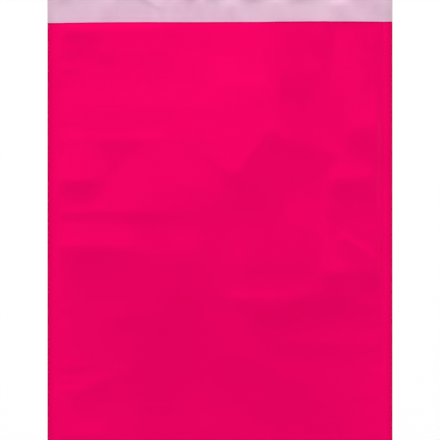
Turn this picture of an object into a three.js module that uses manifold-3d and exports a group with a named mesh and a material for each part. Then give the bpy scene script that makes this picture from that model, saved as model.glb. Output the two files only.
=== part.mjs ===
// A poly mailer bag, empty and lying on its back panel with the flap open.
// One sheet of film is folded across the bottom and welded down both sides. Its back panel runs on past
// the mouth as the flap, which carries a strip of glue under a peel-off liner.
//
// Units are millimetres and +Z is up. X runs across the bag, and +Y from the bottom fold to the flap's lip.
// The origin is on the surface that the bag lies on, under the middle of its outline.

import * as THREE from 'three';
import { mergeVertices } from 'three/addons/utils/BufferGeometryUtils.js';
import Module from 'manifold-3d';

const wasm = await Module();
wasm.setup();

// Driving dimensions of the film bag
const BAG_WIDTH = 254;
const POCKET_DEPTH = 330.2; // bottom fold to the mouth, before the bulge draws its edge back
const FLAP_LENGTH = 50.8; // how far the back panel runs on past the mouth
const FILM_GAUGE = 0.0635; // thickness of one ply
const WELD_WIDTH = 6; // fused band down each side
const PLY_CLEARANCE = 0.02; // air between the two plies where they lie together
const MOUTH_SKEW = 1.05; // the front panel is cut this much longer at its right edge than at its left
const MOUTH_DRAW = 0.35; // the bulge draws the mouth's edge back by this much in the middle of the bag

// How the front panel stands off the back panel
const MOUTH_RISE = 6;
const BELLY_RISE = 7;
const BELLY_FROM_MOUTH = 120;
const BELLY_RADIUS = 60; // how round the bag is where it is fullest
const SIDE_SLOPE = 0.2; // rise of the front panel from each weld, for each millimetre inwards
const SIDE_TAPER = 0.9; // share of that rise that is gone where the sides reach the fold
const WELD_EASE = 6; // distance over which the front panel lifts off the weld
const BOTTOM_BULGE = 18.2; // how far above the fold its springy film still stands up
const HIP_POWER = 3; // the higher this power, the more sharply the sides meet the top

// How the creases of the front panel run out and meet
const CREASE_FADE = 7; // creases grow to their full height over this distance from a weld or the fold
const CREASE_END = 9; // past its ends a crease dies out over this distance, if it states no other
const CREASE_UNION = 2.5; // the higher this power, the more closely creases that meet join at their crests

// Driving dimensions of the closure on the flap
const LINER_FROM_MOUTH = 17;
const LINER_WIDTH = 25.4;
const LINER_THICKNESS = 0.05;
const GLUE_WIDTH = 19;
const GLUE_THICKNESS = 0.1;
const GLUE_END_MARGIN = 2; // bare film at each end of the glue

// How finely the film is divided
const COLUMNS_ACROSS_POCKET = 36;
const ROWS_UP_POCKET = 52;
const FOLD_STEPS = 4;

const LEFT = -1;
const RIGHT = 1;
const LEFT_EDGE = (LEFT * BAG_WIDTH) / 2;
const RIGHT_EDGE = (RIGHT * BAG_WIDTH) / 2;

// A ridge between two points of the front panel, each given as its x and its distance down from the mouth.
// Its flanks fall away over the two widths, the first on the left of the way from start to end. The crest
// is as round as its radius, and past its ends the ridge dies out over the two fades.
function crease(start, end, height, widths, crest, fades = [CREASE_END, CREASE_END]) {
  return { start, end, height, widths, crest, fades };
}

// Ridges that run in from the left weld, from the mouth down
const LEFT_CREASES = [
  crease([LEFT_EDGE, 64], [LEFT_EDGE + 87, 60], 0.3, [12, 9], 5),
  crease([LEFT_EDGE, 117], [LEFT_EDGE + 27, 117], 1.1, [16, 6.5], 2.5),
  crease([LEFT_EDGE + 15, 140], [LEFT_EDGE + 72, 140], 0.3, [7, 4], 2, [9, 25]),
  crease([LEFT_EDGE, 164], [LEFT_EDGE + 42, 165], 0.6, [8, 8], 3, [9, 20]),
  crease([LEFT_EDGE, 302], [LEFT_EDGE + 35, 303], 0.3, [6, 6], 3),
];

// Ridges that run in from the right weld
const RIGHT_CREASES = [
  crease([RIGHT_EDGE - 27, 80], [RIGHT_EDGE, 80], 1.8, [20, 45], 6),
  crease([RIGHT_EDGE - 37, 115], [RIGHT_EDGE - 7, 116], 1.9, [18, 15], 5),
  crease([RIGHT_EDGE - 35, 159], [RIGHT_EDGE - 3, 182], 0.5, [6, 7], 1.5, [5, 5]),
  crease([RIGHT_EDGE - 75, 236], [RIGHT_EDGE - 3, 237], 0.3, [8, 6], 3),
];

// Ridges in the middle of the front panel
const MIDDLE_CREASES = [
  crease([-108, 6], [-50, 6], 1.5, [24, 22], 2, [9, 14]),
  crease([46, 5], [74, 5], 2.2, [40, 60], 6),
  crease([2, 48], [31, 48], 1, [14, 60], 4, [6, 6]),
  crease([13, 109], [34.6, 82], 1.25, [30, 14], 2.5, [12, 12]),
  crease([34.6, 82], [86, 98], 1.15, [100, 14], 3, [12, 12]),
  crease([18, 177], [66, 180], 0.4, [30, 9], 4),
  crease([14, 203], [50, 203], 0.45, [4, 10], 2),
  crease([30, 211], [90, 194], 0.7, [18, 13], 3),
];

// Broad folds that the creases stand on
const BROAD_FOLDS = [
  crease([-82, 22], [-52, 22], 0.6, [16, 20], 5, [9, 12]),
  crease([44, 38], [58, 38], 0.9, [60, 34], 5, [8, 12]),
  crease([-44, 66], [30, 60], 2.15, [32, 170], 8, [35, 10]),
  crease([LEFT_EDGE + 19, 92], [LEFT_EDGE + 65, 90], 1.4, [36, 60], 6, [9, 20]),
  crease([-36, 92], [8, 90], 0.35, [24, 150], 8, [40, 12]),
  crease([-40, 124], [12, 122], 1.2, [40, 120], 8, [25, 12]),
  crease([LEFT_EDGE + 9, 170], [LEFT_EDGE + 77, 172], 0.8, [16, 28], 8, [13, 30]),
  crease([-44, 206], [12, 206], 1.6, [50, 250], 10, [40, 20]),
  crease([-60, POCKET_DEPTH - BOTTOM_BULGE], [10, POCKET_DEPTH - BOTTOM_BULGE], 2.6, [110, 60], 10, [15, 35]),
  crease([RIGHT_EDGE - 45, 184], [RIGHT_EDGE, 182], 1.7, [130, 13], 3),
];

// A shallow dent of the front panel. Its turn is counter-clockwise from +X, in degrees.
const DENT = { x: 56, down: 122, halfLength: 28, halfWidth: 23, turn: 8, depth: 0.35 };

// Places that follow from the driving dimensions
const TOTAL_LENGTH = POCKET_DEPTH + FLAP_LENGTH;
const FOLD_Y = -TOTAL_LENGTH / 2;
const MOUTH_Y = FOLD_Y + POCKET_DEPTH;
const LIP_Y = TOTAL_LENGTH / 2;
const POCKET_HALF_WIDTH = BAG_WIDTH / 2 - WELD_WIDTH;
const FOLD_INNER_RADIUS = PLY_CLEARANCE / 2;
const FOLD_CENTRE_Y = FOLD_Y + FILM_GAUGE + FOLD_INNER_RADIUS;
const FOLD_CENTRE_Z = FILM_GAUGE + FOLD_INNER_RADIUS;
const WELD_THICKNESS = 2 * FILM_GAUGE + PLY_CLEARANCE;

const filmFinish = new THREE.MeshStandardMaterial({ color: 0xea0060, roughness: 0.42, metalness: 0 });
const glueFinish = new THREE.MeshStandardMaterial({ color: 0xe9dccb, roughness: 0.25, metalness: 0 });
const linerFinish = new THREE.MeshStandardMaterial({ color: 0xe6dfe6, roughness: 0.3, metalness: 0 });

// 0 at zero, 1 from the given distance on, with no kink at either end
function fadeIn(distance, over) {
  return THREE.MathUtils.smoothstep(distance, 0, over);
}

function bell(offset, halfWidth) {
  return Math.exp(-((offset / halfWidth) ** 2));
}

// 0 at a rounded ridge, falling away at an even slope on both sides to 1 at the given reach
function roof(distance, reach, radius) {
  return (Math.hypot(distance, radius) - radius) / (Math.hypot(reach, radius) - radius);
}

// 1 at a crest of the given radius, falling away over the width
function flank(distance, width, crest) {
  return Math.exp((crest - Math.hypot(distance, crest)) / width);
}

// The lower of two heights, rounded over where they cross
function lowerOf(first, second) {
  if (first <= 0 || second <= 0) {
    return 0;
  }
  return (first * second) / (first ** HIP_POWER + second ** HIP_POWER) ** (1 / HIP_POWER);
}

// The front panel's edge at the mouth: cut a little askew, and drawn back where the panel bulges
function mouthEdgeY(x) {
  const fromMiddle = x / (BAG_WIDTH / 2);
  return MOUTH_Y + (MOUTH_SKEW * fromMiddle) / 2 - MOUTH_DRAW * (1 - fromMiddle ** 2);
}

// The smooth pillow: highest at the belly, lower at the mouth, and closed at the welds and the fold
function pillowGap(x, down) {
  const fromBelly = down - BELLY_FROM_MOUTH;
  const bellyToFold = POCKET_DEPTH - BELLY_FROM_MOUTH;
  const mouthDrop = BELLY_RISE - MOUTH_RISE;
  const alongBag = fromBelly < 0
    ? BELLY_RISE - mouthDrop * roof(fromBelly, BELLY_FROM_MOUTH, BELLY_RADIUS)
    : BELLY_RISE * (1 - roof(fromBelly, bellyToFold, BELLY_RADIUS));
  const fromWeld = Math.max(POCKET_HALF_WIDTH - Math.abs(x), 0);
  const sideSlope = SIDE_SLOPE * (1 - SIDE_TAPER * fadeIn(fromBelly, bellyToFold));
  return lowerOf(alongBag, (sideSlope * fromWeld ** 2) / (fromWeld + WELD_EASE));
}

function creaseHeight(ridge, x, down) {
  const { start, end } = ridge;
  const [leftWidth, rightWidth] = ridge.widths;
  const [startFade, endFade] = ridge.fades;
  const length = Math.hypot(end[0] - start[0], end[1] - start[1]);
  const aheadX = (end[0] - start[0]) / length;
  const aheadDown = (end[1] - start[1]) / length;
  const along = (x - start[0]) * aheadX + (down - start[1]) * aheadDown;
  const across = (x - start[0]) * aheadDown - (down - start[1]) * aheadX;
  const width = across > 0 ? leftWidth : rightWidth;
  const atStart = bell(Math.max(-along, 0), startFade);
  const atEnd = bell(Math.max(along - length, 0), endFade);
  return ridge.height * flank(across, width, ridge.crest) * atStart * atEnd;
}

function dentDepth(x, down) {
  const turn = THREE.MathUtils.degToRad(DENT.turn);
  const dx = x - DENT.x;
  const dy = DENT.down - down;
  const along = dx * Math.cos(turn) + dy * Math.sin(turn);
  const across = dy * Math.cos(turn) - dx * Math.sin(turn);
  return DENT.depth * bell(along, DENT.halfLength) * bell(across, DENT.halfWidth);
}

// Creases, broad folds and the dent together. Where two creases meet, they join instead of piling up.
function panelRelief(x, down) {
  let joined = 0;
  for (const ridge of [...LEFT_CREASES, ...RIGHT_CREASES, ...MIDDLE_CREASES]) {
    joined += creaseHeight(ridge, x, down) ** CREASE_UNION;
  }
  let relief = joined ** (1 / CREASE_UNION);
  for (const fold of BROAD_FOLDS) {
    relief += creaseHeight(fold, x, down);
  }
  return relief - dentDepth(x, down);
}

// Clear height between the two panels
function pocketGap(x, y) {
  const down = MOUTH_Y - y;
  const weldFade = fadeIn(POCKET_HALF_WIDTH - Math.abs(x), CREASE_FADE);
  const foldFade = fadeIn(y - FOLD_CENTRE_Y, CREASE_FADE);
  return PLY_CLEARANCE + pillowGap(x, down) + panelRelief(x, down) * weldFade * foldFade;
}

// A row is a line of film across the bag. For each x it gives the outer and inner skins as [y, z].
function backRow(y) {
  return () => ({ outer: [y, 0], inner: [y, FILM_GAUGE] });
}

function foldRow(angle) {
  const onArc = (radius) => [
    FOLD_CENTRE_Y - radius * Math.sin(angle),
    FOLD_CENTRE_Z - radius * Math.cos(angle),
  ];
  const skins = { outer: onArc(FOLD_INNER_RADIUS + FILM_GAUGE), inner: onArc(FOLD_INNER_RADIUS) };
  return () => skins;
}

function frontRow(share) {
  return (x) => {
    const y = THREE.MathUtils.lerp(FOLD_CENTRE_Y, mouthEdgeY(x), share);
    const inner = FILM_GAUGE + pocketGap(x, y);
    return { outer: [y, inner + FILM_GAUGE], inner: [y, inner] };
  };
}

// Rows of the whole sheet, from the flap's lip down the back, round the fold and up the front to the mouth
function sheetRows() {
  const rows = [backRow(LIP_Y), backRow(MOUTH_Y)];
  for (let step = 0; step <= FOLD_STEPS; step += 1) {
    rows.push(foldRow((Math.PI * step) / FOLD_STEPS));
  }
  for (let row = 1; row <= ROWS_UP_POCKET; row += 1) {
    rows.push(frontRow(row / ROWS_UP_POCKET));
  }
  return rows;
}

// Columns across the bag: one band for each weld, and an even division of the pocket
function sheetColumns() {
  const columns = [LEFT_EDGE];
  for (let column = 0; column <= COLUMNS_ACROSS_POCKET; column += 1) {
    const share = column / COLUMNS_ACROSS_POCKET;
    columns.push(THREE.MathUtils.lerp(-POCKET_HALF_WIDTH, POCKET_HALF_WIDTH, share));
  }
  columns.push(RIGHT_EDGE);
  return columns;
}

// A closed sheet with two skins, joined round its four edges
function sheetGeometry(rows, columns) {
  const positions = [];
  const indices = [];
  for (const row of rows) {
    for (const x of columns) {
      const { outer, inner } = row(x);
      positions.push(x, ...outer, x, ...inner);
    }
  }
  const outerAt = (row, column) => 2 * (row * columns.length + column);
  const innerAt = (row, column) => outerAt(row, column) + 1;
  const quad = (a, b, c, d) => indices.push(a, b, c, a, c, d);
  const lastRow = rows.length - 1;
  const lastColumn = columns.length - 1;
  for (let row = 0; row < lastRow; row += 1) {
    const next = row + 1;
    for (let column = 0; column < lastColumn; column += 1) {
      const beside = column + 1;
      quad(outerAt(row, column), outerAt(row, beside), outerAt(next, beside), outerAt(next, column));
      quad(innerAt(row, column), innerAt(next, column), innerAt(next, beside), innerAt(row, beside));
    }
    quad(outerAt(row, 0), outerAt(next, 0), innerAt(next, 0), innerAt(row, 0));
    const [outerNow, outerNext] = [outerAt(row, lastColumn), outerAt(next, lastColumn)];
    const [innerNow, innerNext] = [innerAt(row, lastColumn), innerAt(next, lastColumn)];
    quad(outerNow, innerNow, innerNext, outerNext);
  }
  for (let column = 0; column < lastColumn; column += 1) {
    const beside = column + 1;
    quad(outerAt(0, column), innerAt(0, column), innerAt(0, beside), outerAt(0, beside));
    const [outerHere, outerBeside] = [outerAt(lastRow, column), outerAt(lastRow, beside)];
    const [innerHere, innerBeside] = [innerAt(lastRow, column), innerAt(lastRow, beside)];
    quad(outerHere, outerBeside, innerBeside, innerHere);
  }
  const geometry = new THREE.BufferGeometry();
  geometry.setAttribute('position', new THREE.Float32BufferAttribute(positions, 3));
  geometry.setIndex(indices);
  return geometry;
}

function toSolid(geometry) {
  const bare = geometry.clone();
  bare.deleteAttribute('normal');
  bare.deleteAttribute('uv');
  const merged = mergeVertices(bare);
  return new wasm.Manifold(new wasm.Mesh({
    numProp: 3,
    vertProperties: new Float32Array(merged.attributes.position.array),
    triVerts: new Uint32Array(merged.index.array),
  }));
}

function toGeometry(solid) {
  const { vertProperties, triVerts } = solid.getMesh();
  const geometry = new THREE.BufferGeometry();
  geometry.setAttribute('position', new THREE.BufferAttribute(vertProperties, 3));
  geometry.setIndex(new THREE.BufferAttribute(triVerts, 1));
  geometry.computeVertexNormals();
  return geometry;
}

// The band where heat has fused the two plies into one. It starts inside the fold's own wall.
function weldGeometry(side) {
  const startY = FOLD_Y + FILM_GAUGE / 2;
  const endY = mouthEdgeY((side * BAG_WIDTH) / 2) - MOUTH_SKEW;
  const band = new THREE.BoxGeometry(WELD_WIDTH, endY - startY, WELD_THICKNESS);
  band.translate(side * (BAG_WIDTH - WELD_WIDTH) / 2, (startY + endY) / 2, WELD_THICKNESS / 2);
  return band;
}

// The bag: the folded sheet, fused to itself along both welds
function bagMesh() {
  const sheet = toSolid(sheetGeometry(sheetRows(), sheetColumns()));
  const welded = sheet.add(toSolid(weldGeometry(LEFT))).add(toSolid(weldGeometry(RIGHT)));
  const mesh = new THREE.Mesh(toGeometry(welded), filmFinish);
  mesh.name = 'film_bag';
  return mesh;
}

// A flat strip across the flap, with its lower face at the given height
function flapStrip(name, length, width, thickness, restsAtZ, finish) {
  const mesh = new THREE.Mesh(new THREE.BoxGeometry(length, width, thickness), finish);
  mesh.name = name;
  mesh.position.set(0, MOUTH_Y + LINER_FROM_MOUTH + LINER_WIDTH / 2, restsAtZ + thickness / 2);
  return mesh;
}

const GLUE_LENGTH = BAG_WIDTH - 2 * GLUE_END_MARGIN;
const GLUE_TOP_Z = FILM_GAUGE + GLUE_THICKNESS;

const mailer = new THREE.Group();
mailer.name = 'poly_mailer_bag';
mailer.add(bagMesh());
mailer.add(flapStrip('glue_strip', GLUE_LENGTH, GLUE_WIDTH, GLUE_THICKNESS, FILM_GAUGE, glueFinish));
mailer.add(flapStrip('release_liner', BAG_WIDTH, LINER_WIDTH, LINER_THICKNESS, GLUE_TOP_Z, linerFinish));

export default mailer;
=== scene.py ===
"""Looks of an empty poly mailer bag that lies on its back panel with the flap open.

Everything is in metres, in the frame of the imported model: X across the bag, +Y from the bottom fold to
the flap's lip, and +Z up from the surface that the bag lies on.
"""

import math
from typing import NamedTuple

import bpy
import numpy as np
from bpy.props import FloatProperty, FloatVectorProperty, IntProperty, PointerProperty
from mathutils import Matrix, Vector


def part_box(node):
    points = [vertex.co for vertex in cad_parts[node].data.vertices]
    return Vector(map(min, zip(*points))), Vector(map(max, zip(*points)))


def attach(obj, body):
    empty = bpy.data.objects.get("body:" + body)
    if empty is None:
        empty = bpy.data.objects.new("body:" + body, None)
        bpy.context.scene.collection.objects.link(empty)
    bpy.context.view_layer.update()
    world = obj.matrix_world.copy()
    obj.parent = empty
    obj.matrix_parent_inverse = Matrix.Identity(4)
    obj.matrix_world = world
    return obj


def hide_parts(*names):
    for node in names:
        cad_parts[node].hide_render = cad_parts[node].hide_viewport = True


bl_info = {
    "name": "Poly Mailer Bag",
    "version": (1, 0, 0),
    "blender": (4, 5, 0),
    "location": "View3D > Sidebar > Mailer",
    "description": "Builds a film mailer with its welds, creases, flap, glue strip and release liner",
    "category": "Add Mesh",
}

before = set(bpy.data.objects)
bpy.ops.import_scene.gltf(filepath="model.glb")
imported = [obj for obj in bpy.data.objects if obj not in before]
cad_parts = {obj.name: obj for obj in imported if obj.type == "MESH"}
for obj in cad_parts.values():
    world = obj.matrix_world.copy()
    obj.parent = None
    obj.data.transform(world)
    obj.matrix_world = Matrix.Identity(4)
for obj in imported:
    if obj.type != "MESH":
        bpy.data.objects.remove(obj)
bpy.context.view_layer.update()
FILM_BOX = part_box("film_bag")
GLUE_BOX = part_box("glue_strip")
LINER_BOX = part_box("release_liner")

MM = 0.001

# Places of the bag's edges in the photograph, in pixels of its square frame
PHOTO_SIDE_PX = 440
BAG_LEFT_PX = 47.5
BAG_RIGHT_PX = 392.4
MOUTH_PX = 21.6


class Crease(NamedTuple):
    """A ridge between two points of the front panel.

    The points are in millimetres from the panel's middle and down from the mouth. The flanks fall away over
    the two widths: the first on the left of the way from start to end. The crest is as round as its radius,
    and past its ends the ridge dies out over the two fades.
    """

    start: tuple
    end: tuple
    height: float
    left_width: float
    right_width: float
    crest: float
    start_fade: float = 9
    end_fade: float = 9


class Swell(NamedTuple):
    """A soft rise, or a dent where its height is negative, in millimetres and degrees from +X."""

    x: float
    down: float
    half_length: float
    half_width: float
    turn: float
    height: float


class Tuck(NamedTuple):
    """A small fold in the flap that runs down from the glue to its foot, in millimetres.

    It is highest at its crest, and its foot lies to one side by the lean.
    """

    x: float
    crest: float
    foot: float
    lean: float
    height: float
    half_width: float


# Ridges that run in from the left weld, from the mouth down
LEFT_CREASES = [
    Crease((-127, 64), (-40, 60), 0.30, 12, 9, 5),
    Crease((-127, 86), (-42, 86), 0.25, 3.5, 4, 1.5),
    Crease((-127, 117), (-100, 117), 1.10, 16, 6.5, 2.5),
    Crease((-112, 140), (-55, 140), 0.30, 7, 4, 2, 9, 25),
    Crease((-127, 164), (-85, 165), 0.60, 8, 8, 3, 9, 20),
    Crease((-73, 216), (-42, 216), 0.18, 4, 16, 1.5),
    Crease((-127, 253), (-103, 253), 0.20, 4, 4, 2),
    Crease((-103, 272), (-73, 258), 0.25, 6, 6, 3),
    Crease((-127, 302), (-92, 303), 0.30, 6, 6, 3),
]

# Ridges that run in from the right weld
RIGHT_CREASES = [
    Crease((100, 80), (127, 80), 1.80, 20, 45, 6),
    Crease((90, 115), (106, 116), 1.80, 18, 15, 5, 9, 12),
    Crease((62, 137), (96, 139), 0.20, 5, 4, 1.5),
    Crease((92, 159), (124, 182), 0.50, 6, 7, 1.5, 5, 5),
    Crease((107, 208), (127, 207), 0.25, 5, 5, 2),
    Crease((52, 236), (124, 237), 0.30, 8, 6, 3),
]

# Ridges in the middle of the front panel
MIDDLE_CREASES = [
    Crease((-108, 6), (-50, 6), 1.50, 24, 22, 2, 9, 14),
    Crease((46, 5), (74, 5), 2.20, 40, 60, 6),
    Crease((2, 48), (31, 48), 1.00, 14, 60, 4, 6, 6),
    Crease((13, 109), (34.6, 82), 1.25, 30, 14, 2.5, 12, 12),
    Crease((34.6, 82), (86, 98), 1.15, 100, 14, 3, 12, 12),
    Crease((18, 177), (66, 180), 0.40, 30, 9, 4),
    Crease((14, 203), (50, 203), 0.45, 4, 10, 2),
    Crease((30, 211), (90, 194), 0.70, 18, 13, 3),
]

# Broad folds that the creases stand on
BROAD_FOLDS = [
    Crease((-82, 22), (-52, 22), 0.60, 16, 20, 5, 9, 12),
    Crease((44, 38), (58, 38), 0.90, 60, 34, 5, 8, 12),
    Crease((-44, 66), (30, 60), 2.15, 32, 170, 8, 35, 10),
    Crease((-108, 92), (-62, 90), 1.40, 36, 60, 6, 9, 20),
    Crease((-36, 92), (8, 90), 0.35, 24, 150, 8, 40, 12),
    Crease((-40, 124), (12, 122), 1.20, 40, 120, 8, 25, 12),
    Crease((-118, 170), (-50, 172), 0.80, 16, 28, 8, 13, 30),
    Crease((-44, 206), (12, 206), 1.60, 50, 250, 10, 40, 20),
    Crease((-60, 312), (10, 312), 2.60, 110, 60, 10, 15, 35),
    Crease((82, 184), (127, 182), 1.70, 130, 13, 3),
]

DENTS = [
    Swell(56, 122, 28, 23, 8, -0.35),
]

# Tucks in the flap, from left to right
TUCKS = [
    Tuck(-114, 2, 8, -1, 0.40, 4.0),
    Tuck(-84, 8, 60, 0, 0.50, 3.0),
    Tuck(-75, 3, 20, -9, 0.20, 1.6),
    Tuck(-60, 2, 13, 20, 0.40, 2.2),
    Tuck(-43, 7, 60, 0, 0.50, 2.5),
    Tuck(-34, 7, 60, 1, 0.70, 2.0),
    Tuck(-21, 2, 6.5, 0, 0.35, 2.5),
    Tuck(-14.5, 8, 60, 0, 0.75, 1.6),
    Tuck(-6, 2, 6.5, 0, 0.35, 2.5),
    Tuck(8, 9, 60, 3, 1.05, 3.0),
    Tuck(24, 2, 6.5, 0, 0.40, 4.0),
    Tuck(41, 7, 60, 0, 0.85, 3.5),
    Tuck(60, 2, 6.5, 0, 0.40, 6.0),
    Tuck(79, 3, 16, 6, 0.25, 2.0),
    Tuck(88, 8, 60, 2, 1.30, 4.5),
    Tuck(117, 2, 20, 2, 0.45, 4.0),
]
TUCK_SPREAD = 10 * MM  # a tuck widens by its half width over this distance, as far as the mouth


class MailerSizes(bpy.types.PropertyGroup):
    """Sizes of the film and its folds."""

    gauge: FloatProperty(
        name="Film Gauge", description="Thickness of one ply of film",
        default=0.0635 * MM, min=0.0, unit="LENGTH", precision=6)
    flap_length: FloatProperty(
        name="Flap Length", description="How far the back panel runs on past the mouth",
        default=50.8 * MM, unit="LENGTH")
    weld_width: FloatProperty(
        name="Weld Width", description="Fused band down each side",
        default=6 * MM, unit="LENGTH")
    ply_gap: FloatProperty(
        name="Ply Gap", description="Air between the two plies where they lie together",
        default=0.02 * MM, unit="LENGTH", precision=6)
    mouth_skew: FloatProperty(
        name="Mouth Skew", description="How much longer the front panel is cut at its right edge",
        default=1.05 * MM, unit="LENGTH")
    mouth_draw: FloatProperty(
        name="Mouth Draw", description="How far the bulge draws the mouth's edge back in the middle",
        default=0.35 * MM, unit="LENGTH")
    mouth_rise: FloatProperty(
        name="Mouth Rise", description="How far the front panel stands off the back panel at the mouth",
        default=6.0 * MM, unit="LENGTH")
    belly_rise: FloatProperty(
        name="Belly Rise", description="How far the front panel stands off the back panel at most",
        default=7.0 * MM, unit="LENGTH")
    belly_from_mouth: FloatProperty(
        name="Belly from Mouth", description="How far below the mouth the bag is fullest",
        default=120 * MM, unit="LENGTH")
    belly_radius: FloatProperty(
        name="Belly Radius", description="How round the bag is where it is fullest",
        default=60 * MM, unit="LENGTH")
    side_slope: FloatProperty(
        name="Side Slope", description="How steeply the front panel rises from each weld",
        default=math.atan(0.20), subtype="ANGLE")
    side_taper: FloatProperty(
        name="Side Taper", description="Share of the side slope that is gone at the bottom fold",
        default=0.9, min=0.0, max=1.0, subtype="FACTOR")
    weld_ease: FloatProperty(
        name="Weld Ease", description="Distance over which the front panel lifts off the weld",
        default=6 * MM, unit="LENGTH")
    crease_fade: FloatProperty(
        name="Crease Fade", description="Creases grow to their full height over this distance from a weld",
        default=7 * MM, unit="LENGTH")
    lip_band: FloatProperty(
        name="Lip Band", description="Width of the band at the mouth that droops",
        default=6 * MM, unit="LENGTH")
    lip_droop: FloatProperty(
        name="Lip Droop", description="How far the edge of the mouth droops",
        default=0.2 * MM, unit="LENGTH", precision=5)
    gather_seed: IntProperty(
        name="Gather Seed", description="Which random set of small gathers the welds get",
        default=7)


class MailerFinishes(bpy.types.PropertyGroup):
    """Colours of the film, the liner, the glue and the stage."""

    film_pink: FloatVectorProperty(
        name="Film Outside", description="Hot pink outer layer of the film",
        subtype="COLOR", size=3, min=0, max=1, default=(0.82, 0.0, 0.116))
    film_pale: FloatVectorProperty(
        name="Film Inside", description="Pale inner layer of the film",
        subtype="COLOR", size=3, min=0, max=1, default=(0.672, 0.472, 0.588))
    liner_white: FloatVectorProperty(
        name="Liner", description="Milky release film",
        subtype="COLOR", size=3, min=0, max=1, default=(0.80, 0.77, 0.80))
    glue_amber: FloatVectorProperty(
        name="Glue", description="Hot-melt glue",
        subtype="COLOR", size=3, min=0, max=1, default=(0.80, 0.72, 0.60))
    stage_white: FloatVectorProperty(
        name="Stage", description="Paper of the floor and backdrop",
        subtype="COLOR", size=3, min=0, max=1, default=(0.95, 0.95, 0.95))


class MailerStage(bpy.types.PropertyGroup):
    """Camera and lamps."""

    lens: FloatProperty(
        name="Lens", description="Focal length of the camera in millimetres", default=200)
    key_power: FloatProperty(
        name="Key Power", description="Power of the lamp beyond the flap", default=1480, unit="POWER")
    key_size: FloatProperty(
        name="Key Size", description="Side of the key lamp's square face", default=6.5, unit="LENGTH")
    key_distance: FloatProperty(
        name="Key Distance", description="How far the key lamp stands from the bag",
        default=9.0, unit="LENGTH")
    key_azimuth: FloatProperty(
        name="Key Azimuth", description="Which way the key lamp stands, counter-clockwise from +Y",
        default=math.radians(4.5), subtype="ANGLE")
    key_elevation: FloatProperty(
        name="Key Elevation", description="How high the key lamp stands above the floor",
        default=math.radians(33), subtype="ANGLE")
    sheen_share: FloatProperty(
        name="Sheen Share", description="Share of the key light that glossy surfaces mirror",
        default=0.2, min=0.0, max=1.0, subtype="FACTOR")
    world_strength: FloatProperty(
        name="World Strength", description="Even light from all round", default=0.22)


# Shapes on arrays of points

HIP_POWER = 3  # the slopes of the pillow meet more sharply the higher this power
TINY = 1e-18  # stands in for nothing where nothing would be divided by
CREASE_UNION = 2.5  # creases that meet join at their crests, more closely the higher this power


def fade_in(distance, over):
    """0 at zero, 1 from the given distance on, with no kink at either end."""
    share = np.clip(distance / over, 0, 1)
    return share * share * (3 - 2 * share)


def bell(offset, half_width):
    return np.exp(-((offset / half_width) ** 2))


def roof(distance, reach, radius):
    """0 at a rounded ridge, falling away at an even slope on both sides to 1 at the given reach."""
    return (np.hypot(distance, radius) - radius) / (math.hypot(reach, radius) - radius)


def lower_of(first, second):
    """The lower of two heights, rounded over where they cross."""
    both = first ** HIP_POWER + second ** HIP_POWER
    return first * second / np.maximum(both, TINY) ** (1 / HIP_POWER)


def flank(distance, width, crest):
    """Falls from 1 at a crest of the given radius to nothing."""
    return np.exp(-(np.sqrt(distance ** 2 + crest ** 2) - crest) / width)


def crease_height(crease, x, down):
    start = np.array(crease.start) * MM
    end = np.array(crease.end) * MM
    length = np.linalg.norm(end - start)
    ahead = (end - start) / length
    along = (x - start[0]) * ahead[0] + (down - start[1]) * ahead[1]
    across = (x - start[0]) * ahead[1] - (down - start[1]) * ahead[0]
    width = np.where(across > 0, crease.left_width, crease.right_width) * MM
    before = bell(np.maximum(-along, 0), crease.start_fade * MM)
    past = bell(np.maximum(along - length, 0), crease.end_fade * MM)
    return crease.height * MM * flank(across, width, crease.crest * MM) * before * past


def swell_height(swell, x, down):
    turn = math.radians(swell.turn)
    dx = x - swell.x * MM
    dy = swell.down * MM - down
    along = dx * math.cos(turn) + dy * math.sin(turn)
    across = dy * math.cos(turn) - dx * math.sin(turn)
    return swell.height * MM * bell(along, swell.half_length * MM) * bell(across, swell.half_width * MM)


def panel_relief(x, down):
    """Creases, broad folds and dents together. Where two creases meet, they join instead of piling up."""
    joined = np.zeros_like(x)
    for crease in LEFT_CREASES + RIGHT_CREASES + MIDDLE_CREASES:
        joined += crease_height(crease, x, down) ** CREASE_UNION
    relief = joined ** (1 / CREASE_UNION)
    for fold in BROAD_FOLDS:
        relief += crease_height(fold, x, down)
    for dent in DENTS:
        relief += swell_height(dent, x, down)
    return relief


# Ripples beside the welds, in millimetres: their step along the weld and the ranges they are drawn from
GATHER_FIRST = 4
GATHER_STEP = 7
GATHER_SHIFT = 3
GATHER_REACH = (6, 20)
GATHER_WIDTH = (1.6, 3.2)
GATHER_HEIGHT = (0.03, 0.14)

# To the right of this place the mouth's edge turns up instead of drooping
LIP_TURN_X = 20 * MM
LIP_TURN_WIDTH = 25 * MM
LIP_SWING = 1.8


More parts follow.
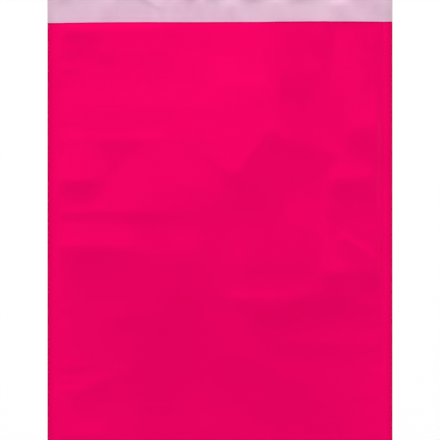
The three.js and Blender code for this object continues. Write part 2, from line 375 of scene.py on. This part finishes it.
class FilmForm:
    """The bag's places and heights, worked out from its sizes and the frame."""

    def __init__(self, sizes):
        self.sizes = sizes
        self.half_width = FILM_BOX[1].x
        self.fold_y = FILM_BOX[0].y
        self.lip_y = FILM_BOX[1].y
        self.mouth_y = self.lip_y - sizes.flap_length
        self.pocket_half = self.half_width - sizes.weld_width
        self.fold_radius = sizes.ply_gap / 2
        self.fold_centre_y = self.fold_y + sizes.gauge + self.fold_radius
        self.gathers = self.weld_gathers()

    def mouth_edge(self, x):
        """The front panel's edge: cut a little askew, and drawn back where the panel bulges."""
        skewed = self.mouth_y + self.sizes.mouth_skew * x / (2 * self.half_width)
        return skewed - self.sizes.mouth_draw * (1 - (x / self.half_width) ** 2)

    def pillow(self, x, down):
        """The smooth pillow: highest at the belly, lower at the mouth, closed at welds and fold."""
        sizes = self.sizes
        belly_to_fold = self.mouth_y - self.fold_y - sizes.belly_from_mouth
        from_belly = down - sizes.belly_from_mouth
        mouth_drop = sizes.belly_rise - sizes.mouth_rise
        above = sizes.belly_rise - mouth_drop * roof(from_belly, sizes.belly_from_mouth, sizes.belly_radius)
        below = sizes.belly_rise * (1 - np.minimum(roof(from_belly, belly_to_fold, sizes.belly_radius), 1))
        along = np.where(down < sizes.belly_from_mouth, above, below)
        from_weld = np.maximum(self.pocket_half - np.abs(x), 0)
        slope = math.tan(sizes.side_slope) * (1 - sizes.side_taper * fade_in(from_belly, belly_to_fold))
        return lower_of(along, slope * from_weld ** 2 / (from_weld + sizes.weld_ease))

    def weld_gathers(self):
        """Small ripples that the shrinking welds pull into the film beside them."""
        rng = np.random.default_rng(self.sizes.gather_seed)
        depth = self.mouth_y - self.fold_y
        gathers = []
        for side in (-1, 1):
            for down in np.arange(GATHER_FIRST * MM, depth, GATHER_STEP * MM):
                gathers.append({
                    "side": side,
                    "down": down + rng.uniform(-GATHER_SHIFT, GATHER_SHIFT) * MM,
                    "reach": rng.uniform(*GATHER_REACH) * MM,
                    "width": rng.uniform(*GATHER_WIDTH) * MM,
                    "height": rng.uniform(*GATHER_HEIGHT) * MM,
                })
        return gathers

    def gather_height(self, x, down):
        total = np.zeros_like(x)
        for gather in self.gathers:
            from_weld = self.pocket_half - gather["side"] * x
            ripple = bell(down - gather["down"], gather["width"]) * bell(from_weld, gather["reach"])
            total += gather["height"] * ripple
        return total

    def front_gap(self, x, y):
        """Clear height between the two panels."""
        sizes = self.sizes
        down = self.mouth_y - y
        creases = self.gather_height(x, down) + panel_relief(x, down)
        fade = fade_in(self.pocket_half - np.abs(x), sizes.crease_fade)
        fade = fade * fade_in(y - self.fold_centre_y, sizes.crease_fade)
        from_edge = self.mouth_edge(x) - y
        droop = sizes.lip_droop * (1 - np.clip(from_edge / sizes.lip_band, 0, 1)) ** 2
        droop = droop * fade_in(self.pocket_half - np.abs(x), sizes.crease_fade)
        droop = droop * (1 - LIP_SWING * fade_in(x - LIP_TURN_X, LIP_TURN_WIDTH))
        return sizes.ply_gap + self.pillow(x, down) + creases * fade - droop

    def flap_lift(self, x, y):
        """Tucks that stand up from the flap between its glue and the mouth."""
        from_glue = np.maximum(GLUE_BOX[0].y - y, 0)
        spread = 1 + np.minimum(from_glue, GLUE_BOX[0].y - self.mouth_y) / TUCK_SPREAD
        lift = np.zeros_like(x)
        for tuck in TUCKS:
            rise = fade_in(from_glue, tuck.crest * MM)
            fall = 1 - fade_in(from_glue - tuck.crest * MM, (tuck.foot - tuck.crest) * MM)
            centre = tuck.x * MM + tuck.lean / tuck.foot * from_glue
            lift += tuck.height * MM * rise * fall * bell(x - centre, spread * tuck.half_width * MM)
        return lift


# The film as one folded sheet

FRONT_ROWS = 200
FLAP_ROWS = 72
BACK_ROWS = 10
FLAP_ROWS_PAST_MOUTH = 42 * MM  # the flap's close rows run on into the pocket, where its tucks die out
FOLD_STEPS = 6
POCKET_COLUMNS = 150
WELD_COLUMNS = 4
CROWDING = 0.25  # how much closer the columns stand towards the welds
EDGE_GUARD = 0.04 * MM


def guarded(places):
    """The places with one more just inside each end, which keeps smooth shading off the cut edges."""
    inward = math.copysign(EDGE_GUARD, places[-1] - places[0])
    first = places[:1]
    last = places[-1:]
    return np.concatenate([first, first + inward, places[1:-1], last - inward, last])


def sheet_columns(form):
    """Places across the bag, closer together towards the welds, where the film is puckered most."""
    even = np.linspace(-1, 1, POCKET_COLUMNS + 1)
    crowded = (1 - CROWDING) * even + CROWDING * np.sin(even * math.pi / 2)
    weld = np.linspace(form.pocket_half, form.half_width, WELD_COLUMNS + 1)[1:]
    return guarded(np.concatenate([-weld[::-1], crowded * form.pocket_half, weld]))


def sheet_rows(form, columns):
    """Points of the film's inner skin: down the back from the flap's lip, round the fold, up the front."""
    gauge = form.sizes.gauge
    flat = np.ones_like(columns)
    rows = []
    tucks_end_y = form.mouth_y - FLAP_ROWS_PAST_MOUTH
    for y in guarded(np.linspace(form.lip_y, tucks_end_y, FLAP_ROWS + 1)):
        rows.append((y * flat, gauge + form.flap_lift(columns, y * flat)))
    for y in np.linspace(tucks_end_y, form.fold_centre_y, BACK_ROWS + 1)[1:-1]:
        rows.append((y * flat, gauge * flat))
    for angle in np.linspace(0, math.pi, FOLD_STEPS + 1):
        y = form.fold_centre_y - form.fold_radius * math.sin(angle)
        z = gauge + form.fold_radius * (1 - math.cos(angle))
        rows.append((y * flat, z * flat))
    front_length = form.mouth_y - form.fold_centre_y
    for distance in guarded(np.linspace(0, front_length, FRONT_ROWS + 1))[1:]:
        y = form.fold_centre_y + (form.mouth_edge(columns) - form.fold_centre_y) * distance / front_length
        rows.append((y, gauge + form.front_gap(columns, y)))
    return rows


def lattice_mesh(name, columns, rows):
    """A mesh of quads over rows of points, with a UV map of the flat sheet."""
    count = len(columns)
    points = np.array([np.column_stack([columns, y, z]) for y, z in rows])
    corner = np.arange(len(rows) * count).reshape(len(rows), count)
    faces = np.stack([corner[:-1, :-1], corner[:-1, 1:], corner[1:, 1:], corner[1:, :-1]], axis=-1)
    mesh = bpy.data.meshes.new(name)
    mesh.from_pydata(points.reshape(-1, 3).tolist(), [], faces.reshape(-1, 4).tolist())
    steps = np.linalg.norm(np.diff(points[:, count // 2], axis=0), axis=1)
    along = np.concatenate([[0], np.cumsum(steps)])
    across = (columns - columns[0]) / (columns[-1] - columns[0])
    flat_cut = np.stack(np.broadcast_arrays(across[None, :], (along / along[-1])[:, None]), axis=-1)
    loop_vertex = np.zeros(len(mesh.loops), dtype=np.int32)
    mesh.loops.foreach_get("vertex_index", loop_vertex)
    uv_map = mesh.uv_layers.new(name="flat_cut")
    uv_map.data.foreach_set("uv", flat_cut.reshape(-1, 2)[loop_vertex].astype(np.float32).ravel())
    mesh.shade_smooth()
    return mesh


# Node trees

class Value:
    """An output socket of a node tree. Arithmetic on it adds Math nodes to that tree."""

    def __init__(self, nodes, socket):
        self.nodes = nodes
        self.socket = socket

    def math(self, operation, *terms):
        return self.nodes.add("ShaderNodeMath", {"operation": operation}, dict(enumerate(terms)))

    def __add__(self, other):
        return self.math("ADD", self, other)

    def __sub__(self, other):
        return self.math("SUBTRACT", self, other)

    def __rsub__(self, other):
        return self.math("SUBTRACT", other, self)

    def __mul__(self, other):
        return self.math("MULTIPLY", self, other)

    def __abs__(self):
        return self.math("ABSOLUTE", self)

    __radd__ = __add__


class Nodes:
    """Adds nodes to one tree."""

    def __init__(self, tree):
        self.tree = tree
        tree.nodes.clear()

    def add(self, kind, settings=None, sockets=None, output=0):
        node = self.tree.nodes.new(kind)
        for name, setting in (settings or {}).items():
            setattr(node, name, setting)
        for key, value in (sockets or {}).items():
            for one in value if isinstance(value, list) else [value]:
                if isinstance(one, Value):
                    self.tree.links.new(one.socket, node.inputs[key])
                else:
                    node.inputs[key].default_value = one
        outputs = node.outputs
        return Value(self, outputs[output]) if len(outputs) else node


class Finish(Nodes):
    """A material whose nodes are being added."""

    MIX_FACTOR, MIX_A, MIX_B, MIX_RESULT = 0, 6, 7, 2

    def __init__(self, name):
        self.material = bpy.data.materials.new(name)
        self.material.use_nodes = True
        super().__init__(self.material.node_tree)

    def mix(self, factor, first, second):
        sockets = {self.MIX_FACTOR: factor, self.MIX_A: first, self.MIX_B: second}
        return self.add("ShaderNodeMix", {"data_type": "RGBA"}, sockets, self.MIX_RESULT)

    def place(self, scale):
        """Object coordinates, stretched for a pattern."""
        here = self.add("ShaderNodeTexCoord", output="Object")
        return self.add("ShaderNodeMapping", None, {"Vector": here, "Scale": scale})

    def noise(self, scale, detail=2.0, roughness=0.5):
        """Cloudy values about 0.5 whose patches are as large as one over the scale."""
        sockets = {"Vector": self.place(scale), "Scale": 1.0, "Detail": detail, "Roughness": roughness}
        return self.add("ShaderNodeTexNoise", None, sockets, "Fac")

    def ramp(self, value, low, high):
        """0 up to low, 1 from high on, smooth between them."""
        sockets = {"Value": value, "From Min": low, "From Max": high}
        return self.add("ShaderNodeMapRange", {"interpolation_type": "SMOOTHSTEP"}, sockets)

    def on_sheet(self, axis):
        """Place on the flat sheet, from 0 to 1: X from left to right, Y from the lip to the mouth."""
        cut = self.add("ShaderNodeUVMap", {"uv_map": "flat_cut"})
        return self.add("ShaderNodeSeparateXYZ", None, {"Vector": cut}, axis)

    def from_side(self):
        """Distance from the nearer side of the sheet, as a share of its width."""
        return 0.5 - abs(self.on_sheet("X") - 0.5)

    def bump(self, height, strength, distance):
        sockets = {"Height": height, "Strength": strength, "Distance": distance}
        return self.add("ShaderNodeBump", None, sockets, "Normal")

    def close(self, sockets):
        surface = self.add("ShaderNodeBsdfPrincipled", None, sockets)
        self.add("ShaderNodeOutputMaterial", None, {"Surface": surface})
        return self.material


# Bands of painted shade along the sheet's edges, as shares of its width, and of painted shade and painted
# bounce light at its ends, as shares of its length
WELD_SHADE_BAND = 0.021
CUT_RIM_SHADE = (0.0005, 0.0065)
INNER_BAND = 0.03
LIP_SHADE_RIM = (1 - 0.0022, 1 - 0.0004)
MOUTH_BOUNCE_BAND = 0.006
STAGE_GLOW = 0.75


def colour(values, gain=1.0):
    """A colour socket's value, made lighter or darker by a gain."""
    return (*(min(component * gain, 1.0) for component in values), 1.0)


def outside_film(finishes):
    """Hot pink satin film: faint streaks along the web, soft clouds, painted shade along the weld bands and
    the cut edges, and a painted dark line of shade along the mouth's edge.
    """
    film = Finish("hot_pink_film")
    pink = finishes.film_pink
    clouds = film.noise((14, 22, 14))
    streaks = film.noise((8, 420, 8), detail=3)
    mottled = film.mix(film.ramp(clouds, 0.3, 0.7), colour(pink, 0.975), colour(pink, 1.025))
    streaked = film.mix(film.ramp(streaks, 0.62, 0.8) * 0.5, mottled, colour(pink, 1.06))
    # Painted shade: the weld bands and the cut rim are darkened where the film turns down at the sides
    edge = 1 - film.ramp(film.from_side(), 0.0, WELD_SHADE_BAND)
    rim = 1 - film.ramp(film.from_side(), *CUT_RIM_SHADE)
    edge_shaded = film.mix(edge * 0.42 + rim * 0.55, streaked, colour(pink, 0.6))
    # Painted shade: a thin dark line along the front panel's mouth edge
    lip = film.ramp(film.on_sheet("Y"), *LIP_SHADE_RIM)
    tinted = film.mix(lip * 0.8, edge_shaded, colour(pink, 0.5))
    grain = film.noise((900, 1400, 900), detail=2)
    web = film.noise((30, 500, 30), detail=2)
    relief = grain * 0.35 + web * 0.65
    return film.close({
        "Base Color": tinted,
        "Roughness": 0.30 + film.noise((60, 160, 60)) * 0.10,
        "Specular IOR Level": 0.30,
        "Specular Tint": (1.0, 0.15, 0.5, 1.0),
        "Normal": film.bump(relief, 0.12, 0.0004),
    })


def inside_film(finishes, flap_share):
    """Pale inner layer, with the pink behind it showing through in faint clouds, and painted pink bounce
    light beside the mouth.
    """
    film = Finish("pale_film_inside")
    pale = finishes.film_pale
    pinker = (pale[0] * 0.985, pale[1] * 0.90, pale[2] * 0.955)
    clouds = film.noise((45, 30, 45), detail=4)
    clouded = film.mix(film.ramp(clouds, 0.3, 0.7), colour(pinker), colour(pale, 1.03))
    streaks = film.noise((8, 520, 8), detail=3)
    mottled = film.mix(film.ramp(streaks, 0.55, 0.75) * 0.4, clouded, colour(pale, 1.06))
    # Painted bounce light: the pale inside turns pinker just beside the mouth, as if lit by light off the
    # pink lip
    bounce_band = film.ramp(film.on_sheet("Y"), flap_share - MOUTH_BOUNCE_BAND, flap_share)
    painted_bounce_pink = (pale[0] * 1.08, pale[1] * 0.80, pale[2] * 0.95)
    with_bounce = film.mix(bounce_band * 0.35, mottled, colour(painted_bounce_pink))
    edge = 1 - film.ramp(film.from_side(), 0.0, INNER_BAND)
    tinted = film.mix(edge * 0.6, with_bounce, colour(pale, 0.8))
    grain = film.noise((500, 900, 500), detail=2)
    return film.close({
        "Base Color": tinted,
        "Roughness": 0.36 + film.noise((70, 70, 70)) * 0.12,
        "Specular IOR Level": 0.2,
        "Normal": film.bump(grain, 0.12, 0.0004),
    })


def liner_film(finishes):
    """Milky release film, smooth, with faint streaks along it."""
    liner = Finish("milky_liner")
    white = finishes.liner_white
    streaks = liner.noise((6, 380, 6), detail=3)
    clouds = liner.noise((30, 60, 30))
    streaked = liner.mix(liner.ramp(streaks, 0.35, 0.65), colour(white, 0.96), colour(white, 1.03))
    return liner.close({
        "Base Color": streaked,
        "Roughness": 0.24 + clouds * 0.14,
        "Specular IOR Level": 0.45,
        "Normal": liner.bump(streaks, 0.10, 0.0003),
    })


def glue_melt(finishes):
    """Glossy hot melt with fine bubbles and ropy flow along the strip."""
    glue = Finish("amber_hot_melt")
    amber = finishes.glue_amber
    flow = glue.noise((20, 700, 20), detail=3)
    clouds = glue.noise((80, 160, 80), detail=3)
    tinted = glue.mix(glue.ramp(clouds, 0.3, 0.7), colour(amber, 0.9), colour(amber, 1.05))
    return glue.close({
        "Base Color": tinted,
        "Roughness": 0.16 + clouds * 0.12,
        "Normal": glue.bump(flow, 0.3, 0.0004),
    })


def stage_paper(finishes):
    """White paper that keeps its shadows but stays near white for the camera."""
    paper = Finish("stage_paper")
    rays = paper.add("ShaderNodeLightPath", output="Is Camera Ray")
    glossy = Value(paper, rays.socket.node.outputs["Is Glossy Ray"])
    lit = paper.add("ShaderNodeBsdfDiffuse", None, {"Color": colour(finishes.stage_white)})
    glow = paper.add("ShaderNodeEmission", None, {"Color": (1, 1, 1, 1), "Strength": 1.0})
    seen = rays.math("MAXIMUM", rays, glossy) * STAGE_GLOW
    surface = paper.add("ShaderNodeMixShader", None, {0: seen, 1: lit, 2: glow})
    paper.add("ShaderNodeOutputMaterial", None, {"Surface": surface})
    return paper.material


# Film thickness by Geometry Nodes

SKIN_INPUTS = {"Sheet": "Geometry", "Gauge": "Float", "Outer": "Material", "Inner": "Material"}
MERGE_DISTANCE = 1e-6


def skins_tree():
    """Gives a sheet its gauge: it is the inner skin, and an outer skin stands off it by the gauge."""
    tree = bpy.data.node_groups.new("film_skins", "GeometryNodeTree")
    inputs = {}
    for name, kind in SKIN_INPUTS.items():
        socket = tree.interface.new_socket(name, in_out="INPUT", socket_type="NodeSocket" + kind)
        inputs[name] = socket.identifier
    tree.interface.new_socket("Film", in_out="OUTPUT", socket_type="NodeSocketGeometry")
    nodes = Nodes(tree)
    given = nodes.add("NodeGroupInput")
    sheet, gauge, outer, inner = (Value(nodes, given.socket.node.outputs[name]) for name in inputs)
    raised = nodes.add("GeometryNodeExtrudeMesh", {"mode": "FACES"},
                       {"Mesh": sheet, "Offset Scale": gauge, "Individual": False})
    outward = Value(nodes, raised.socket.node.outputs["Top"])
    rim = Value(nodes, raised.socket.node.outputs["Side"])
    inward = nodes.add("GeometryNodeFlipFaces", None, {"Mesh": sheet})
    both = nodes.add("GeometryNodeJoinGeometry", None, {"Geometry": [raised, inward]})
    closed = nodes.add("GeometryNodeMergeByDistance", None, {"Geometry": both, "Distance": MERGE_DISTANCE})
    plain = nodes.add("GeometryNodeRealizeInstances", None, {"Geometry": closed})
    lined = nodes.add("GeometryNodeSetMaterial", None, {"Geometry": plain, "Material": inner})
    outside = nodes.add("FunctionNodeBooleanMath", {"operation": "OR"}, {0: outward, 1: rim})
    covered = nodes.add("GeometryNodeSetMaterial", None,
                        {"Geometry": lined, "Selection": outside, "Material": outer})
    nodes.add("NodeGroupOutput", None, {0: covered})
    return tree, inputs


def film_piece(name, sheet, gauge, outer, inner):
    """An object of film with two skins, from the mesh of its inner skin."""
    tree, inputs = skins_tree()
    piece = bpy.data.objects.new(name, sheet)
    bpy.context.scene.collection.objects.link(piece)
    skins = piece.modifiers.new("skins", "NODES")
    skins.node_group = tree
    skins[inputs["Gauge"]] = gauge
    skins[inputs["Outer"]] = outer
    skins[inputs["Inner"]] = inner
    ready = bpy.context.evaluated_depsgraph_get()
    piece.data = bpy.data.meshes.new_from_object(piece.evaluated_get(ready), depsgraph=ready)
    piece.modifiers.clear()
    piece.data.name = name
    return piece


class MAILER_OT_film_bag(bpy.types.Operator):
    """Folds, creases and welds one sheet of film into the bag and its flap"""

    bl_idname = "mailer.film_bag"
    bl_label = "Film Bag"

    def execute(self, context):
        scene = context.scene
        form = FilmForm(scene.mailer_sizes)
        columns = sheet_columns(form)
        sheet = lattice_mesh("bag_sheet", columns, sheet_rows(form, columns))
        outer = outside_film(scene.mailer_finishes)
        cut_length = (form.lip_y - form.fold_y) + (form.mouth_y - form.fold_y)
        inner = inside_film(scene.mailer_finishes, form.sizes.flap_length / cut_length)
        bag = film_piece("mailer_film", sheet, form.sizes.gauge, outer, inner)
        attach(bag, "root")
        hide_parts("film_bag")
        return {"FINISHED"}


LINER_ROWS = 16
LINER_COLUMNS = 160
GLUE_RIBS = 7
RIB_DEPTH = 0.2  # half the height of a rib, as a share of the glue's thickness
RIPPLE_HEIGHT = 0.12 * MM
RIPPLE_LENGTH = 6 * MM
RIPPLE_SWAY = 17 * MM
RIPPLE_EDGE = 6  # the ripples keep closer to the liner's edges the higher this power


class MAILER_OT_closure(bpy.types.Operator):
    """Lays the glue strip and its release liner across the flap"""

    bl_idname = "mailer.closure"
    bl_label = "Glue and Liner"

    def execute(self, context):
        finishes = context.scene.mailer_finishes
        glue = self.strip("hot_melt_strip", GLUE_BOX, glue_melt(finishes), self.ribbed)
        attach(glue, "root")
        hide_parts("glue_strip")
        liner = self.strip("peel_liner", LINER_BOX, liner_film(finishes), self.rippled)
        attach(liner, "root")
        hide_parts("release_liner")
        return {"FINISHED"}

    def strip(self, name, box, finish, relief):
        low, high = box
        columns = guarded(np.linspace(low.x, high.x, LINER_COLUMNS + 1))
        rows = []
        for y in guarded(np.linspace(low.y, high.y, LINER_ROWS + 1)):
            share = (y - low.y) / (high.y - low.y)
            rows.append((np.full_like(columns, y), low.z + relief(columns, share, high.z - low.z)))
        sheet = lattice_mesh(name + "_sheet", columns, rows)
        return film_piece(name, sheet, high.z - low.z, finish, finish)

    def ribbed(self, x, share, thickness):
        """Ropes of glue that the nozzles laid side by side."""
        return thickness * RIB_DEPTH * (1 + math.cos(share * 2 * math.pi * GLUE_RIBS)) * np.ones_like(x)

    def rippled(self, x, share, thickness):
        """Faint waves where the liner has lifted between its bonds."""
        edge = abs(2 * share - 1) ** RIPPLE_EDGE
        wave = 0.5 + 0.5 * np.sin(x / RIPPLE_LENGTH + 2 * np.sin(x / RIPPLE_SWAY))
        return edge * wave * RIPPLE_HEIGHT


STAGE_RADIUS = 6.0
STAGE_FILLET = 1.0
STAGE_HEIGHT = 1.2
STAGE_SEGMENTS = 96
STAGE_FILLET_STEPS = 12
STAGE_DROP = 0.2 * MM


def stage_bowl(finish):
    """A floor that sweeps up into a round wall, open above."""
    profile = [(0.0, 0.0), (STAGE_RADIUS - STAGE_FILLET, 0.0)]
    for angle in np.linspace(0, math.pi / 2, STAGE_FILLET_STEPS + 1)[1:]:
        radius = STAGE_RADIUS - STAGE_FILLET * (1 - math.sin(angle))
        profile.append((radius, STAGE_FILLET * (1 - math.cos(angle))))
    profile.append((STAGE_RADIUS, STAGE_HEIGHT))
    points = [(0.0, 0.0, -STAGE_DROP)]
    faces = []
    for radius, height in profile[1:]:
        for turn in np.linspace(0, 2 * math.pi, STAGE_SEGMENTS, endpoint=False):
            points.append((radius * math.cos(turn), radius * math.sin(turn), height - STAGE_DROP))
    for step in range(STAGE_SEGMENTS):
        after = (step + 1) % STAGE_SEGMENTS
        faces.append((0, 1 + step, 1 + after))
        for ring in range(len(profile) - 2):
            inner = 1 + ring * STAGE_SEGMENTS
            outer = inner + STAGE_SEGMENTS
            faces.append((inner + step, outer + step, outer + after, inner + after))
    mesh = bpy.data.meshes.new("stage_bowl")
    mesh.from_pydata(points, [], faces)
    mesh.shade_smooth()
    mesh.materials.append(finish)
    bowl = bpy.data.objects.new("stage_bowl", mesh)
    bpy.context.scene.collection.objects.link(bowl)
    return bowl


class MAILER_OT_stage(bpy.types.Operator):
    """Sets the floor, the lamps and a camera that looks straight down on the bag"""

    bl_idname = "mailer.stage"
    bl_label = "Stage"

    def execute(self, context):
        scene = context.scene
        stage = scene.mailer_stage
        stage_bowl(stage_paper(scene.mailer_finishes))
        self.camera(scene, stage)
        self.key_lamp(scene, stage)
        self.world(scene, stage)
        scene.view_settings.view_transform = "Standard"
        return {"FINISHED"}

    def camera(self, scene, stage):
        sizes = scene.mailer_sizes
        pixel = (FILM_BOX[1].x - FILM_BOX[0].x) / (BAG_RIGHT_PX - BAG_LEFT_PX)
        camera = bpy.data.cameras.new("camera_above")
        camera.lens = stage.lens
        height = PHOTO_SIDE_PX * pixel * camera.lens / camera.sensor_width
        mouth_y = FILM_BOX[1].y - sizes.flap_length
        mouth_nearness = (height - sizes.mouth_rise) / height
        middle_px = PHOTO_SIDE_PX / 2
        x = (middle_px - (BAG_LEFT_PX + BAG_RIGHT_PX) / 2) * pixel
        y = mouth_y - (middle_px - MOUTH_PX) * pixel * mouth_nearness
        eye = bpy.data.objects.new("camera_above", camera)
        eye.location = (x, y, height)
        scene.collection.objects.link(eye)
        scene.camera = eye

    def key_lamp(self, scene, stage):
        """One soft lamp in two parts, of which glossy surfaces mirror only the weaker."""
        level = math.cos(stage.key_elevation)
        towards = Vector((-math.sin(stage.key_azimuth) * level,
                          math.cos(stage.key_azimuth) * level,
                          math.sin(stage.key_elevation)))
        for name, share, mirrored in (("key_lamp", 1 - stage.sheen_share, False),
                                      ("sheen_lamp", stage.sheen_share, True)):
            lamp = bpy.data.lights.new(name, "AREA")
            lamp.energy = stage.key_power * share
            lamp.size = stage.key_size
            stand = bpy.data.objects.new(name, lamp)
            stand.location = towards * stage.key_distance
            stand.rotation_euler = towards.to_track_quat("Z", "Y").to_euler()
            stand.visible_glossy = mirrored
            scene.collection.objects.link(stand)

    def world(self, scene, stage):
        world = bpy.data.worlds.new("studio_air")
        world.use_nodes = True
        world.node_tree.nodes["Background"].inputs["Color"].default_value = (1, 1, 1, 1)
        world.node_tree.nodes["Background"].inputs["Strength"].default_value = stage.world_strength
        scene.world = world


class MAILER_PT_sidebar(bpy.types.Panel):
    """Lists the steps that build the mailer, and the sizes and colours they use"""

    bl_label = "Poly Mailer Bag"
    bl_idname = "MAILER_PT_sidebar"
    bl_space_type = "VIEW_3D"
    bl_region_type = "UI"
    bl_category = "Mailer"

    def draw(self, context):
        for step in STEPS:
            self.layout.operator(step.bl_idname)
        scene = context.scene
        for group in (scene.mailer_sizes, scene.mailer_finishes, scene.mailer_stage):
            box = self.layout.box()
            for name in group.__annotations__:
                box.prop(group, name)


GROUPS = {"mailer_sizes": MailerSizes, "mailer_finishes": MailerFinishes, "mailer_stage": MailerStage}
STEPS = (MAILER_OT_film_bag, MAILER_OT_closure, MAILER_OT_stage)
CLASSES = (*GROUPS.values(), *STEPS, MAILER_PT_sidebar)


def register():
    for cls in CLASSES:
        bpy.utils.register_class(cls)
    for name, group in GROUPS.items():
        setattr(bpy.types.Scene, name, PointerProperty(type=group))


def unregister():
    for name in GROUPS:
        delattr(bpy.types.Scene, name)
    for cls in reversed(CLASSES):
        bpy.utils.unregister_class(cls)


def main():
    register()
    bpy.ops.mailer.stage()
    bpy.ops.mailer.film_bag()
    bpy.ops.mailer.closure()


if __name__ == "__main__":
    main()
